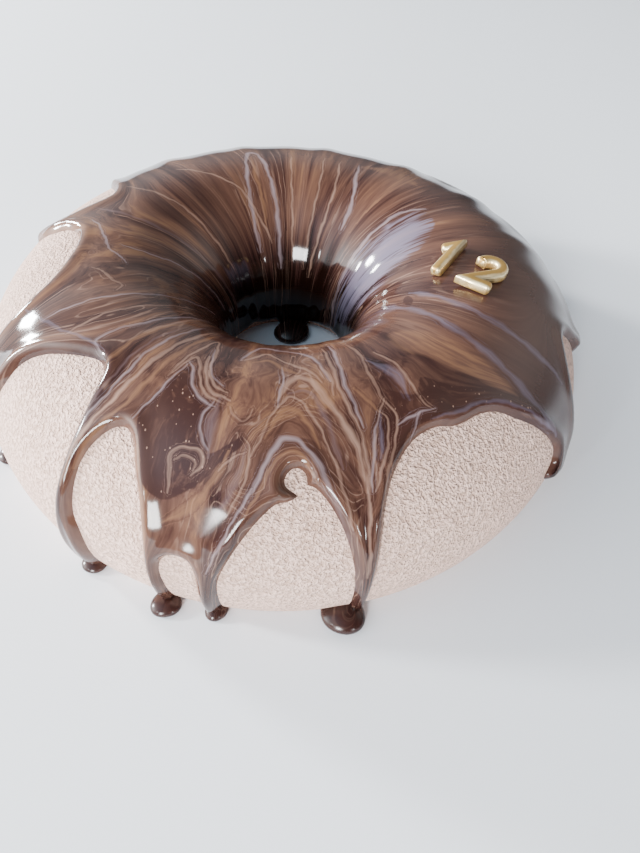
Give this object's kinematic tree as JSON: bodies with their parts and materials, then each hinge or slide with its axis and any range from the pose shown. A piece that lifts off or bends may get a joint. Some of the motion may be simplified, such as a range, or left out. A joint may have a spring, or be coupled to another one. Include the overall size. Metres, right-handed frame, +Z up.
{
  "type": "mousse cake",
  "caption": "Ring-shaped mousse cake with a velvet-sprayed body, a marbled chocolate glaze that runs down its sides and into its hole, and gold numerals on top.",
  "frame": {"origin": "centre of the ring's flat base, on the surface it rests on", "axes": "+Z up along the ring's axis, -Y towards the front that the picture shows, +X to the right seen from the front"},
  "size_m": [0.2411, 0.2486, 0.0678],
  "materials": {
    "velvet_mousse": "pale beige velvet spray, matt and pebbly",
    "chocolate_glaze": "marbled chocolate mirror glaze, very glossy",
    "gold_numeral": "chocolate dusted with gold lustre, satin"
  },
  "bodies": {
    "root": {"mousse_ring": "velvet_mousse", "chocolate_glaze": "chocolate_glaze", "numeral_one": "gold_numeral", "numeral_two": "gold_numeral"}
  },
  "joints": []
}
